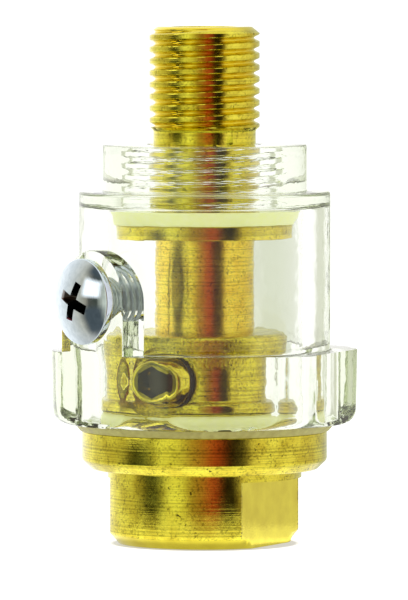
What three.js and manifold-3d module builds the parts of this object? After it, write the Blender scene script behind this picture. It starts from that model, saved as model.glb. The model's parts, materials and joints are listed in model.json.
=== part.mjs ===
// In-line air-tool oiler: a brass through-fitting inside a clear oil bowl.
// Millimetres. The origin is on the air passage's axis, in the plane of the wrench end, with +Z
// towards the threaded nipple. The bowl has a hexagonal band with turned corners, and is filled
// through a side boss closed by a domed screw. A hexagon-socket screw in the brass collar meters the
// oil into the air stream.

import * as THREE from 'three';
import { mergeVertices } from 'three/addons/utils/BufferGeometryUtils.js';
import Module from 'manifold-3d';

// ---------------------------------------------------------------- driving dimensions

const GAP = 0.3;                      // clearance kept between neighbouring solids
const TIGHT_GAP = 0.12;               // clearance kept around thin seals
const CUTTER_OVERRUN = 1;             // length of a cutter past the face that it opens

// Pipe thread: quarter-inch parallel, modelled as plain cylinders at the crest diameter.
const NIPPLE_RADIUS = 6.58;
const RELIEF_RADIUS = 6.2;
const SOCKET_THREAD_RADIUS = 5.8;
const SOCKET_MOUTH_RADIUS = 6.9;

// Base fitting, from the wrench end upwards.
const WRENCH_BODY_RADIUS = 11.65;
const WRENCH_BODY_TOP = 9;
const WRENCH_EDGE_CHAMFER = 1.35;
const WRENCH_ACROSS_FLATS = 17.6;
const WRENCH_FLAT_TOP = 8;
const WRENCH_FLAT_DIRECTION = -27;    // degrees from +X
const SOCKET_DEPTH = 12.2;
const FLANGE_RADIUS = 14.7;
const FLANGE_UNDERSIDE_RADIUS = 13.6;
const FLANGE_CHAMFER_TOP = 10.1;
const FLANGE_TOP = 13.55;
const SPIGOT_RADIUS = 11.2;
const SPIGOT_TOP = 17.6;
const SPIGOT_EDGE_ROUND = 0.5;
const SPIGOT_FOOT_ROUND = 0.4;
const SEAL_GROOVE_RADIUS = 8.9;
const SEAL_GROOVE_LOW = 14.0;
const SEAL_GROOVE_HIGH = 16.1;
const COLLAR_RADIUS = 9.85;
const COLLAR_TOP = 25.25;
const COLLAR_EDGE_ROUND = 0.6;
const SHOULDER_BORE_RADIUS = 4;
const STEM_SEAT_RADIUS = 5.6;
const STEM_SEAT_LOW = 13.2;

// Stem, from its tail in the collar to the nipple's end.
const COLUMN_RADIUS = 5.95;
const DISC_RADIUS = 10.6;
const DISC_LOW = 36.7;
const DISC_HIGH = 38.4;
const RELIEF_LOW = 47.9;
const RELIEF_HIGH = 49.7;
const OVERALL_HEIGHT = 62;
const NIPPLE_END_CHAMFER = 0.8;
const STEM_BORE_RADIUS = 3.5;
const TAIL_GROOVE_RADIUS = 4.35;
const TAIL_GROOVE_LOW = 14.3;
const TAIL_GROOVE_HIGH = 15.8;
const PRESSURE_HOLE_RADIUS = 0.7;
const PRESSURE_HOLE_HEIGHT = 33.5;
const PRESSURE_HOLE_DIRECTION = 40;   // degrees from +X

// Venturi throat pressed in the stem's tail.
const THROAT_RADIUS = 1.7;
const THROAT_MOUTH_RADIUS = 2.7;
const THROAT_LOW = 16;
const THROAT_HIGH = 24.6;
const THROAT_LENGTH = 3;              // of the narrow stretch between its two cones

// Oil bowl.
const BOWL_FOOT = 14.5;
const BOWL_FOOT_RADIUS = 15.8;
const BAND_RADIUS = 18.35;            // over the hexagon's turned corners
const BAND_ACROSS_FLATS = 34;
const BAND_CORNER = 1.7;
const BAND_CORNER_INSET = 0.15;
const BAND_TOP = 23.3;
const BOWL_RADIUS = 15.1;
const BOWL_SHOULDER = 42.3;
const BOWL_SHOULDER_ROUND = 0.4;
const CAVITY_RADIUS = 11.75;
const CAVITY_TOP = 40.5;
const NECK_RADIUS = 12.25;
const NECK_TOP = 47.9;

// Filler boss and its screw: M5, on a radial axis.
const FILLER_DIRECTION = 218;         // degrees from +X
const FILLER_HEIGHT = 29.6;
const BOSS_RADIUS = 6.05;
const BOSS_FOOT = 20;
const PAD_DISTANCE = BAND_ACROSS_FLATS / 2;   // the boss is flush with one flat of the band
const FILLER_HOLE_RADIUS = 2.8;
const FILLER_SHANK_RADIUS = 2.45;
const FILLER_TIP_CHAMFER = 0.5;
const FILLER_TIP_DISTANCE = 11.55;
const FILLER_SEAT_DISTANCE = 17.6;    // underside of the head
const FILLER_RIM_THICKNESS = 0.95;
const FILLER_HEAD_RADIUS = 5.12;
const FILLER_DOME_HEIGHT = 1.4;
const CROSS_RECESS_SPAN = 5.2;
const CROSS_RECESS_WIDTH = 1;
const CROSS_RECESS_DEPTH = 1.7;
const CROSS_RECESS_TURN = -22;        // degrees
const WASHER_RADIUS = 4.2;

// Metering screw: hexagon socket, on a radial axis through the collar.
const METER_DIRECTION = 240;          // degrees from +X
const METER_HEIGHT = 20;
const METER_BORE_RADIUS = 3.15;
const METER_CHAMBER_DISTANCE = 6.5;   // inner end of the bore, from the axis
const METER_SPOT_RADIUS = 3.95;
const METER_SPOT_DISTANCE = 8.9;
const METER_ORIFICE_RADIUS = 1.1;
const METER_BARREL_RADIUS = 2.95;
const METER_THREAD_RADIUS = 2.85;
const METER_SHOULDER_DISTANCE = 10.75;
const METER_FACE_DISTANCE = 11.15;
const METER_FACE_RADIUS = 2.35;
const METER_TIP_DISTANCE = 6.95;
const METER_NEEDLE_RADIUS = 0.75;
const METER_NEEDLE_BASE_DISTANCE = 7.9;
const METER_GROOVE_RADIUS = 2.3;
const METER_GROOVE_INNER = 8.75;
const METER_GROOVE_OUTER = 9.55;
const HEX_ACROSS_FLATS = 3.2;
const HEX_DEPTH = 2.4;
const OIL_INLET_RADIUS = 0.75;
const OIL_INLET_DISTANCE = 7.7;       // where the inlet meets the metering bore

// Seals.
const BASE_SEAL_MEAN_RADIUS = 10.3;
const BASE_SEAL_SECTION = 0.9;
const STEM_SEAL_MEAN_RADIUS = 4.95;
const STEM_SEAL_SECTION = 0.45;
const METER_SEAL_SECTION = 0.28;
const METER_SEAL_PLAY = 0.1;
const GASKET_TOP_RADIUS = 11.35;
const GASKET_LOW_RADIUS = 10.8;
const FOOT_GASKET_LOW_RADIUS = 14.9;
const FOOT_GASKET_TOP_RADIUS = 15.6;
const FOOT_GASKET_BORE_RADIUS = 11.9;

// Facets around a full turn.
const SMALL = 12;
const COARSE = 24;
const MEDIUM = 36;
const FINE = 48;

// ---------------------------------------------------------------- materials

const BRASS = { color: 0xc9a93a, roughness: 0.3, metalness: 1 };
const BRASS_STEM = { color: 0xd1a02c, roughness: 0.28, metalness: 1 };
const CHROME = { color: 0xd7dade, roughness: 0.12, metalness: 1 };
const CLEAR_PLASTIC = { color: 0xe4efe2, roughness: 0.05, metalness: 0, transparent: true, opacity: 0.3 };
const NYLON = { color: 0xdfe3c4, roughness: 0.45, metalness: 0 };
const BLACK_RUBBER = { color: 0x161616, roughness: 0.6, metalness: 0 };

// ---------------------------------------------------------------- solid-making helpers

const wasm = await Module();
wasm.setup();

const radians = THREE.MathUtils.degToRad;

// One closed body from a geometry: shared vertices, no slivers, faces pointing out.
function closedBody(geometry) {
  const bare = new THREE.BufferGeometry();
  bare.setAttribute('position', geometry.getAttribute('position').clone());
  if (geometry.index) {
    bare.setIndex(geometry.index.clone());
  }
  const merged = mergeVertices(bare, 1e-5);
  const index = merged.index.array;
  const corner = [new THREE.Vector3(), new THREE.Vector3(), new THREE.Vector3()];
  const kept = [];
  let volume = 0;
  for (let i = 0; i < index.length; i += 3) {
    const [a, b, c] = [index[i], index[i + 1], index[i + 2]];
    if (a === b || b === c || c === a) {
      continue;
    }
    [a, b, c].forEach((vertex, k) => corner[k].fromBufferAttribute(merged.attributes.position, vertex));
    volume += corner[0].dot(corner[1].clone().cross(corner[2]));
    kept.push(a, b, c);
  }
  if (volume < 0) {
    kept.reverse();
  }
  merged.setIndex(kept);
  return merged;
}

// Body of revolution about Z from a closed outline of [radius, height] corners.
function turned(outline, segments) {
  const points = outline.map(([radius, height]) => new THREE.Vector2(radius, height));
  const touchesAxis = outline[0][0] === 0 && outline[outline.length - 1][0] === 0;
  if (!touchesAxis) {
    points.push(points[0].clone());
  }
  return closedBody(new THREE.LatheGeometry(points, segments).rotateX(Math.PI / 2));
}

function cylinder(radius, low, high, segments = COARSE) {
  return turned([[0, low], [radius, low], [radius, high], [0, high]], segments);
}

function ring(meanRadius, section, height, segments = MEDIUM) {
  const outline = arc(meanRadius, height, section, 0, 360, 8).slice(0, -1);
  return turned(outline, segments);
}

// Corners along an arc of [radius, height] points, from one angle to another, in degrees.
function arc(centreRadius, centreHeight, radius, from, to, steps) {
  return Array.from({ length: steps + 1 }, (_, i) => {
    const angle = radians(from + (to - from) * i / steps);
    return [centreRadius + radius * Math.cos(angle), centreHeight + radius * Math.sin(angle)];
  });
}

function block(width, depth, height, x, y, z) {
  return closedBody(new THREE.BoxGeometry(width, depth, height).translate(x, y, z));
}

function extruded(shape, low, high, curveSegments = 16) {
  const options = { depth: high - low, bevelEnabled: false, curveSegments };
  return closedBody(new THREE.ExtrudeGeometry(shape, options).translate(0, 0, low));
}

// Turns a body built along +Z so that +Z points outwards from the axis at an angle and a height.
function radialPlacement(direction, height) {
  const turn = new THREE.Euler(0, Math.PI / 2, radians(direction), 'ZYX');
  return new THREE.Matrix4().makeRotationFromEuler(turn).setPosition(0, 0, height);
}

function placed(geometry, matrix) {
  return geometry.clone().applyMatrix4(matrix);
}

function toManifold(geometry) {
  return new wasm.Manifold(new wasm.Mesh({
    numProp: 3,
    vertProperties: new Float32Array(geometry.attributes.position.array),
    triVerts: new Uint32Array(geometry.index.array),
  }));
}

function fromManifold(solid) {
  const mesh = solid.getMesh();
  const geometry = new THREE.BufferGeometry();
  geometry.setAttribute('position', new THREE.BufferAttribute(new Float32Array(mesh.vertProperties), 3));
  geometry.setIndex(new THREE.BufferAttribute(new Uint32Array(mesh.triVerts), 1));
  return geometry;
}

function cut(geometry, ...cutters) {
  const solid = cutters.reduce((left, cutter) => left.subtract(toManifold(cutter)), toManifold(geometry));
  return fromManifold(solid);
}

function join(geometry, ...others) {
  return fromManifold(others.reduce((sum, other) => sum.add(toManifold(other)), toManifold(geometry)));
}

function part(name, geometry, finish) {
  const mesh = new THREE.Mesh(geometry, new THREE.MeshStandardMaterial(finish));
  mesh.geometry.computeVertexNormals();
  mesh.name = name;
  return mesh;
}

// ---------------------------------------------------------------- brass parts

const fillerPlace = radialPlacement(FILLER_DIRECTION, FILLER_HEIGHT);
const meterPlace = radialPlacement(METER_DIRECTION, METER_HEIGHT);

function baseFitting() {
  const outline = [
    [SOCKET_MOUTH_RADIUS, 0],
    [WRENCH_BODY_RADIUS - WRENCH_EDGE_CHAMFER, 0],
    [WRENCH_BODY_RADIUS, WRENCH_EDGE_CHAMFER],
    [WRENCH_BODY_RADIUS, WRENCH_BODY_TOP],
    [FLANGE_UNDERSIDE_RADIUS, WRENCH_BODY_TOP],
    [FLANGE_RADIUS, FLANGE_CHAMFER_TOP],
    [FLANGE_RADIUS, FLANGE_TOP],
    [SPIGOT_RADIUS, FLANGE_TOP],
    [SPIGOT_RADIUS, SEAL_GROOVE_LOW],
    [SEAL_GROOVE_RADIUS, SEAL_GROOVE_LOW],
    [SEAL_GROOVE_RADIUS, SEAL_GROOVE_HIGH],
    ...arc(SPIGOT_RADIUS - SPIGOT_FOOT_ROUND, SEAL_GROOVE_HIGH + SPIGOT_FOOT_ROUND,
      SPIGOT_FOOT_ROUND, -90, 0, 2),
    ...arc(SPIGOT_RADIUS - SPIGOT_EDGE_ROUND, SPIGOT_TOP - SPIGOT_EDGE_ROUND, SPIGOT_EDGE_ROUND, 0, 90, 3),
    [COLLAR_RADIUS, SPIGOT_TOP],
    ...arc(COLLAR_RADIUS - COLLAR_EDGE_ROUND, COLLAR_TOP - COLLAR_EDGE_ROUND, COLLAR_EDGE_ROUND, 0, 90, 3),
    [STEM_SEAT_RADIUS, COLLAR_TOP],
    [STEM_SEAT_RADIUS, STEM_SEAT_LOW],
    [SHOULDER_BORE_RADIUS, STEM_SEAT_LOW],
    [SHOULDER_BORE_RADIUS, SOCKET_DEPTH],
    [SOCKET_THREAD_RADIUS, SOCKET_DEPTH],
    [SOCKET_THREAD_RADIUS, SOCKET_MOUTH_RADIUS - SOCKET_THREAD_RADIUS],
  ];
  return cut(turned(outline, FINE), ...wrenchFlats(), ...meteringPassages());
}

function wrenchFlats() {
  const depth = WRENCH_BODY_RADIUS;
  return [0, 180].map((side) => {
    const face = block(depth, 2 * depth, 2 * WRENCH_FLAT_TOP, (WRENCH_ACROSS_FLATS + depth) / 2, 0, 0);
    return face.rotateZ(radians(WRENCH_FLAT_DIRECTION + side));
  });
}

// The metering bore, its spot face, the orifice into the air passage, and the oil inlet beside it.
function meteringPassages() {
  const beyond = 2 * COLLAR_RADIUS;
  const bore = cylinder(METER_BORE_RADIUS, METER_CHAMBER_DISTANCE, beyond);
  const spotFace = cylinder(METER_SPOT_RADIUS, METER_SPOT_DISTANCE, beyond);
  const orifice = cylinder(METER_ORIFICE_RADIUS, 0, METER_CHAMBER_DISTANCE + GAP, SMALL);
  const inlet = cylinder(OIL_INLET_RADIUS, 0, beyond, SMALL)
    .rotateX(Math.PI / 2)
    .translate(0, 0, OIL_INLET_DISTANCE);
  return [bore, spotFace, orifice, inlet].map((cutter) => placed(cutter, meterPlace));
}

function stem() {
  const tailRadius = STEM_SEAT_RADIUS - GAP;
  const tailLow = STEM_SEAT_LOW + GAP;
  const columnLow = COLLAR_TOP + TIGHT_GAP;
  const outline = [
    [STEM_BORE_RADIUS, tailLow],
    [tailRadius, tailLow],
    [tailRadius, TAIL_GROOVE_LOW],
    [TAIL_GROOVE_RADIUS, TAIL_GROOVE_LOW],
    [TAIL_GROOVE_RADIUS, TAIL_GROOVE_HIGH],
    [tailRadius, TAIL_GROOVE_HIGH],
    [tailRadius, columnLow],
    [COLUMN_RADIUS, columnLow],
    [COLUMN_RADIUS, DISC_LOW],
    [DISC_RADIUS, DISC_LOW],
    [DISC_RADIUS, DISC_HIGH],
    [NIPPLE_RADIUS, DISC_HIGH],
    [NIPPLE_RADIUS, RELIEF_LOW],
    [RELIEF_RADIUS, RELIEF_LOW],
    [RELIEF_RADIUS, RELIEF_HIGH],
    [NIPPLE_RADIUS, RELIEF_HIGH + NIPPLE_RADIUS - RELIEF_RADIUS],
    [NIPPLE_RADIUS, OVERALL_HEIGHT - NIPPLE_END_CHAMFER],
    [NIPPLE_RADIUS - NIPPLE_END_CHAMFER, OVERALL_HEIGHT],
    [STEM_BORE_RADIUS, OVERALL_HEIGHT],
  ];
  const pressureHole = placed(
    cylinder(PRESSURE_HOLE_RADIUS, 0, 2 * COLUMN_RADIUS, SMALL),
    radialPlacement(PRESSURE_HOLE_DIRECTION, PRESSURE_HOLE_HEIGHT),
  );
  const orifice = placed(cylinder(METER_ORIFICE_RADIUS, 0, METER_CHAMBER_DISTANCE, SMALL), meterPlace);
  return cut(turned(outline, MEDIUM), pressureHole, orifice);
}

function throatInsert() {
  const outerRadius = STEM_BORE_RADIUS - TIGHT_GAP;
  const middle = (THROAT_LOW + THROAT_HIGH) / 2;
  const outline = [
    [THROAT_MOUTH_RADIUS, THROAT_LOW],
    [outerRadius, THROAT_LOW],
    [outerRadius, THROAT_HIGH],
    [THROAT_MOUTH_RADIUS, THROAT_HIGH],
    [THROAT_RADIUS, middle + THROAT_LENGTH / 2],
    [THROAT_RADIUS, middle - THROAT_LENGTH / 2],
  ];
  const orifice = placed(cylinder(METER_ORIFICE_RADIUS, 0, STEM_SEAT_RADIUS, SMALL), meterPlace);
  return cut(turned(outline, COARSE), orifice);
}

// ---------------------------------------------------------------- oil bowl

function bowl() {
  const cornerRadius = BAND_RADIUS - BAND_CORNER_INSET;
  const outside = [
    [0, BOWL_FOOT],
    [BOWL_FOOT_RADIUS, BOWL_FOOT],
    ...arc(cornerRadius - BAND_CORNER, BOWL_FOOT + BAND_CORNER, BAND_CORNER, -75, 0, 5),
    [BAND_RADIUS, BAND_TOP],
    [BOWL_RADIUS, BAND_TOP],
    ...arc(BOWL_RADIUS - BOWL_SHOULDER_ROUND, BOWL_SHOULDER - BOWL_SHOULDER_ROUND,
      BOWL_SHOULDER_ROUND, 0, 90, 2),
    [NECK_RADIUS, BOWL_SHOULDER],
    [NECK_RADIUS, NECK_TOP],
    [0, NECK_TOP],
  ];
  const neckBoreRadius = NIPPLE_RADIUS + GAP;
  const cavity = turned([
    [0, BOWL_FOOT - CUTTER_OVERRUN],
    [CAVITY_RADIUS, BOWL_FOOT - CUTTER_OVERRUN],
    [CAVITY_RADIUS, CAVITY_TOP],
    [neckBoreRadius, CAVITY_TOP],
    [neckBoreRadius, NECK_TOP + CUTTER_OVERRUN],
    [0, NECK_TOP + CUTTER_OVERRUN],
  ], FINE);
  const fillerHole = placed(cylinder(FILLER_HOLE_RADIUS, 0, 2 * BAND_RADIUS), fillerPlace);
  return cut(join(turned(outside, FINE), fillerBoss()), cavity, fillerHole, ...beyondFlats());
}

// Upright boss: a half-round top on straight sides that run down into the band.
function fillerBoss() {
  const legs = FILLER_HEIGHT - BOSS_FOOT;
  const outline = new THREE.Shape();
  outline.moveTo(legs, -BOSS_RADIUS);
  outline.lineTo(legs, BOSS_RADIUS);
  outline.lineTo(0, BOSS_RADIUS);
  outline.absarc(0, 0, BOSS_RADIUS, Math.PI / 2, 3 * Math.PI / 2, false);
  return placed(extruded(outline, CAVITY_RADIUS - 2, PAD_DISTANCE), fillerPlace);
}

// Everything outside the six flats of the band, one of which is also the boss's face.
function beyondFlats() {
  const size = 2 * BAND_RADIUS;
  return [0, 60, 120, 180, 240, 300].map((turn) => placed(
    block(size, size, size, 0, 0, PAD_DISTANCE + size / 2),
    radialPlacement(FILLER_DIRECTION + turn, FILLER_HEIGHT),
  ));
}

// ---------------------------------------------------------------- screws

function fillerScrew() {
  const rimTop = FILLER_SEAT_DISTANCE + FILLER_RIM_THICKNESS;
  const domeRadius = (FILLER_HEAD_RADIUS ** 2 + FILLER_DOME_HEIGHT ** 2) / (2 * FILLER_DOME_HEIGHT);
  const domeCentre = rimTop + FILLER_DOME_HEIGHT - domeRadius;
  const rimAngle = THREE.MathUtils.radToDeg(Math.acos(FILLER_HEAD_RADIUS / domeRadius));
  const dome = arc(0, domeCentre, domeRadius, rimAngle, 90, 5).slice(0, -1);
  const outline = [
    [0, FILLER_TIP_DISTANCE],
    [FILLER_SHANK_RADIUS - FILLER_TIP_CHAMFER, FILLER_TIP_DISTANCE],
    [FILLER_SHANK_RADIUS, FILLER_TIP_DISTANCE + FILLER_TIP_CHAMFER],
    [FILLER_SHANK_RADIUS, FILLER_SEAT_DISTANCE],
    [FILLER_HEAD_RADIUS, FILLER_SEAT_DISTANCE],
    ...dome,
    [0, rimTop + FILLER_DOME_HEIGHT],
  ];
  const slotHeight = 2 * CROSS_RECESS_DEPTH;
  const apex = rimTop + FILLER_DOME_HEIGHT;
  const slots = [0, 90].map((turn) => block(
    CROSS_RECESS_SPAN, CROSS_RECESS_WIDTH, slotHeight, 0, 0, apex,
  ).rotateZ(radians(CROSS_RECESS_TURN + turn)));
  return cut(turned(outline, MEDIUM), ...slots);
}

function fillerWasher() {
  const inner = FILLER_SHANK_RADIUS + TIGHT_GAP;
  const low = PAD_DISTANCE + TIGHT_GAP;
  const high = FILLER_SEAT_DISTANCE - TIGHT_GAP;
  return turned([[inner, low], [WASHER_RADIUS, low], [WASHER_RADIUS, high], [inner, high]], COARSE);
}

function meteringScrew() {
  const outline = [
    [0, METER_TIP_DISTANCE],
    [METER_NEEDLE_RADIUS, METER_NEEDLE_BASE_DISTANCE],
    [METER_THREAD_RADIUS, METER_NEEDLE_BASE_DISTANCE],
    [METER_THREAD_RADIUS, METER_GROOVE_INNER],
    [METER_GROOVE_RADIUS, METER_GROOVE_INNER],
    [METER_GROOVE_RADIUS, METER_GROOVE_OUTER],
    [METER_BARREL_RADIUS, METER_GROOVE_OUTER],
    [METER_BARREL_RADIUS, METER_SHOULDER_DISTANCE],
    [METER_FACE_RADIUS, METER_FACE_DISTANCE],
    [0, METER_FACE_DISTANCE],
  ];
  const cornerRadius = HEX_ACROSS_FLATS / Math.sqrt(3);
  const socketLow = METER_FACE_DISTANCE - HEX_DEPTH;
  const socket = cylinder(cornerRadius, socketLow, METER_FACE_DISTANCE + CUTTER_OVERRUN, 6)
    .rotateZ(Math.PI / 2);
  return cut(turned(outline, MEDIUM), socket);
}

// ---------------------------------------------------------------- seals

function bowlGasket() {
  const inner = NIPPLE_RADIUS + GAP;
  const low = DISC_HIGH + TIGHT_GAP;
  const high = CAVITY_TOP - GAP;
  return turned([[inner, low], [GASKET_LOW_RADIUS, low], [GASKET_TOP_RADIUS, high], [inner, high]], FINE);
}

function footGasket() {
  const low = FLANGE_TOP + TIGHT_GAP;
  const high = BOWL_FOOT - TIGHT_GAP;
  return turned([
    [FOOT_GASKET_BORE_RADIUS, low],
    [FOOT_GASKET_LOW_RADIUS, low],
    [FOOT_GASKET_TOP_RADIUS, high],
    [FOOT_GASKET_BORE_RADIUS, high],
  ], FINE);
}

// ---------------------------------------------------------------- assembly

// A piece built along +Z that lies on a radial axis of the oiler.
function radialGroup(direction, height, ...meshes) {
  const group = new THREE.Group();
  group.rotation.set(0, Math.PI / 2, radians(direction), 'ZYX');
  group.position.set(0, 0, height);
  group.add(...meshes);
  return group;
}

const grooveMiddle = (low, high) => (low + high) / 2;
const meterSealMeanRadius = METER_GROOVE_RADIUS + METER_SEAL_SECTION + METER_SEAL_PLAY;

const oiler = new THREE.Group();
oiler.add(
  part('base_fitting', baseFitting(), BRASS),
  part('stem', stem(), BRASS_STEM),
  part('throat_insert', throatInsert(), BRASS),
  part('bowl', bowl(), CLEAR_PLASTIC),
  part('bowl_gasket', bowlGasket(), NYLON),
  part('foot_gasket', footGasket(), NYLON),
  part('base_seal', ring(BASE_SEAL_MEAN_RADIUS, BASE_SEAL_SECTION,
    grooveMiddle(SEAL_GROOVE_LOW, SEAL_GROOVE_HIGH)), NYLON),
  part('stem_seal', ring(STEM_SEAL_MEAN_RADIUS, STEM_SEAL_SECTION,
    grooveMiddle(TAIL_GROOVE_LOW, TAIL_GROOVE_HIGH), COARSE), BLACK_RUBBER),
  radialGroup(FILLER_DIRECTION, FILLER_HEIGHT,
    part('filler_screw', fillerScrew(), CHROME),
    part('filler_washer', fillerWasher(), NYLON)),
  radialGroup(METER_DIRECTION, METER_HEIGHT,
    part('metering_screw', meteringScrew(), BRASS),
    part('metering_seal', ring(meterSealMeanRadius, METER_SEAL_SECTION,
      grooveMiddle(METER_GROOVE_INNER, METER_GROOVE_OUTER), COARSE), BLACK_RUBBER)),
);

export default oiler;
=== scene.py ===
"""Looks of an in-line air-tool oiler: brass through-fitting, clear oil bowl, chrome filler screw."""

import json
import math

import bmesh
import bpy
from mathutils import Euler, Matrix, Vector


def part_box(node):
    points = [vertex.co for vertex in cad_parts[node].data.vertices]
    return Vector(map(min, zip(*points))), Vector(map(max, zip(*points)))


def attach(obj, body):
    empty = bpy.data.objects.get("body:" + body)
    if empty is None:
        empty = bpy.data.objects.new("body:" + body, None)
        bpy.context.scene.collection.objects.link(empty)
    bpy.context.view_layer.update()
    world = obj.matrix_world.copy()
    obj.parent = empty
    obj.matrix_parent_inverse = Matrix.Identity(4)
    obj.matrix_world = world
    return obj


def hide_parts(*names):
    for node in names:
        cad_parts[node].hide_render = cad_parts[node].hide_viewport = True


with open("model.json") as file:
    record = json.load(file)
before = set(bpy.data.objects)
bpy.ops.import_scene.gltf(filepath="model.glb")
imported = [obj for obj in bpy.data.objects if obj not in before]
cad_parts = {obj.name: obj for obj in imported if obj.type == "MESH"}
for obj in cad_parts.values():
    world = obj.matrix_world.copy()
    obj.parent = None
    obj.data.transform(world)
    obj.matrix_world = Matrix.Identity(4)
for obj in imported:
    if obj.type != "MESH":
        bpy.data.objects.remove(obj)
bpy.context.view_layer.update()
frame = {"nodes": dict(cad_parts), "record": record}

MM = 0.001
TURN = 2 * math.pi
joints = {joint["name"]: joint for joint in frame["record"]["behaviour"]["joints"]}


def node_low(node):
    """Height in mm of a CAD node's lowest point."""
    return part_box(node)[0][2] / MM


def node_high(node):
    """Height in mm of a CAD node's highest point."""
    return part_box(node)[1][2] / MM


def joint_place(name):
    """(angle from +X, height in mm) of a joint whose axis points outwards from the air passage."""
    x, y, _ = joints[name]["axis"]
    return math.atan2(y, x), joints[name]["pos_m"][2] / MM


# ---------------------------------------------------------------- dimensions, in mm

COLUMNS = 192                 # corners around the larger turned pieces
SMALL_COLUMNS = 96
SEAL_COLUMNS = 64
SAME = 1e-6                   # difference below which two lengths are the same

THREAD_PITCH = 1.411
THREAD_RUN_IN = 0.5           # length over which a thread's depth builds up
THREAD_CREST_SHARE = 0.34     # of half a pitch
THREAD_FLANK_SHARE = 0.62
NIPPLE_CREST = 6.62
NIPPLE_ROOT = 5.95
RELIEF_RADIUS = 6.15
RELIEF_LOW = 47.9
RELIEF_HIGH = 49.6
NIPPLE_END = node_high("stem")
END_CHAMFER_START = 0.75      # below the nipple's end
END_CHAMFER_LENGTH = 0.7
END_CHAMFER_DEPTH = 0.87
END_FACE_RADIUS = 5.65
BORE_CHAMFER = 0.5
STEM_BORE = 3.5
STEM_TAIL = node_low("stem")
STEM_TAIL_RADIUS = 5.3
COLUMN_RADIUS = 5.95
DISC_RADIUS = 10.6
DISC_LOW = 36.7
DISC_HIGH = 38.4

COLLAR_TOP = node_high("base_fitting")
COLLAR_RADIUS = 9.85
SPECKLED_FROM = 21.6          # height on the collar above which its skin is coarse
SPIGOT_RADIUS = 11.2
SPIGOT_TOP = 17.6
SEAL_GROOVE_RADIUS = 8.9
SEAL_GROOVE_LOW = 14.0
SEAL_GROOVE_HIGH = 16.1
FLANGE_RADIUS = 14.7
FLANGE_TOP = 13.55
FLANGE_CHAMFER_TOP = 10.1
FLANGE_UNDERSIDE_RADIUS = 13.55
WRENCH_BODY_RADIUS = 11.65
WRENCH_BODY_TOP = 9.0
WRENCH_CHAMFER = 1.35
WRENCH_FLAT_TOP = 8.0
WRENCH_FLAT_DISTANCE = 8.8
WRENCH_FLAT_DIRECTION = math.radians(-27)
SOCKET_DEPTH = 12.2
SOCKET_THREAD_LOW = 1.0
SOCKET_THREAD_END = 0.6       # below the socket's floor
SOCKET_MOUTH_RADIUS = 6.9
SOCKET_CREST = 5.8
SOCKET_ROOT = 6.4
SHOULDER_BORE = 4.0
STEM_SEAT_LOW = 13.2

BOWL_FOOT = node_low("bowl")
BOWL_MOUTH_RADIUS = 12.0
FOOT_FACE_RADIUS = 15.8
FOOT_CURVE = 1.7
FOOT_CURVE_CENTRE = 16.5
BAND_DRAFT_RADIUS = 18.22     # the band narrows to this towards its foot
BAND_DRAFT_LOW = 16.6
BAND_RADIUS = 18.35
BAND_FLAT_DISTANCE = 17.0
BAND_TOP = 23.3
BOWL_RADIUS = 15.1
BOWL_SHOULDER = 42.3
CAVITY_RADIUS = 11.75
CAVITY_TOP = 40.5
NECK_RADIUS = 12.25
NECK_TOP = node_high("bowl")
NECK_PLAY = 0.08              # air between the plastic thread and the brass one

FILLER_ANGLE, FILLER_HEIGHT = joint_place("filler_turn")
BOSS_RADIUS = 6.05
BOSS_FOOT = 21.5
BOSS_ROOT = 12.6              # distance from the air passage's axis
BOSS_EDGE = 0.25
FILLER_SEAT = 17.6
FILLER_RIM = 0.95
FILLER_HEAD_RADIUS = 5.12
FILLER_DOME = 1.4
FILLER_SHANK = 2.45
FILLER_NECK = 2.1
FILLER_TIP = 11.55
FILLER_PITCH = 0.8
FILLER_THREAD_DEPTH = 0.45
FILLER_HOLE = FILLER_SHANK - 0.2
FILLER_HOLE_INNER = 8         # in the cavity
FILLER_HOLE_OUTER = 19        # outside the boss
RECESS_TURN = math.radians(-22)
RECESS_RADIUS = 3.2
RECESS_SHADE_FROM = 0.1       # below the dome, where the painted shade in the recess begins
RECESS_SHADE_FULL = 0.3
DOME_SPHERE = (FILLER_HEAD_RADIUS ** 2 + FILLER_DOME ** 2) / (2 * FILLER_DOME)
DOME_CENTRE = FILLER_SEAT + FILLER_RIM + FILLER_DOME - DOME_SPHERE

METER_ANGLE, METER_HEIGHT = joint_place("meter_turn")
METER_TIP = 6.95
METER_NEEDLE_RADIUS = 0.75
METER_NEEDLE_BASE = 7.9
METER_THREAD = 2.85
METER_GROOVE = 2.3
METER_GROOVE_INNER = 8.75
METER_GROOVE_OUTER = 9.5
METER_BARREL = 2.95
METER_SHOULDER = 10.75
METER_FACE = 11.15
METER_FACE_RADIUS = 2.35
METER_BORE = METER_BARREL + 0.15
METER_BORE_END = 6.5
METER_BORE_OUTER = 14.0       # outside the spigot
METER_SPOT_RADIUS = 3.95
METER_SPOT = 8.9
METER_ORIFICE = 1.1
HEX_ACROSS_FLATS = 3.2
HEX_DEPTH = 1.9
HEX_POINT_DEPTH = 2.7


# ---------------------------------------------------------------- mesh helpers

WELD = 1e-4                   # mm within which corners are one


def clean(bm, weld):
    """Welds corners that lie together and removes the faces that this leaves without area."""
    bmesh.ops.remove_doubles(bm, verts=bm.verts, dist=weld)
    bmesh.ops.dissolve_degenerate(bm, edges=bm.edges, dist=weld)


def set_sharp(bm, sharp_angle=30):
    """Smooth shading but for the edges that turn by more than the angle."""
    for face in bm.faces:
        face.smooth = True
    for edge in bm.edges:
        edge.smooth = edge.calc_face_angle(0) < math.radians(sharp_angle)


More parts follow.
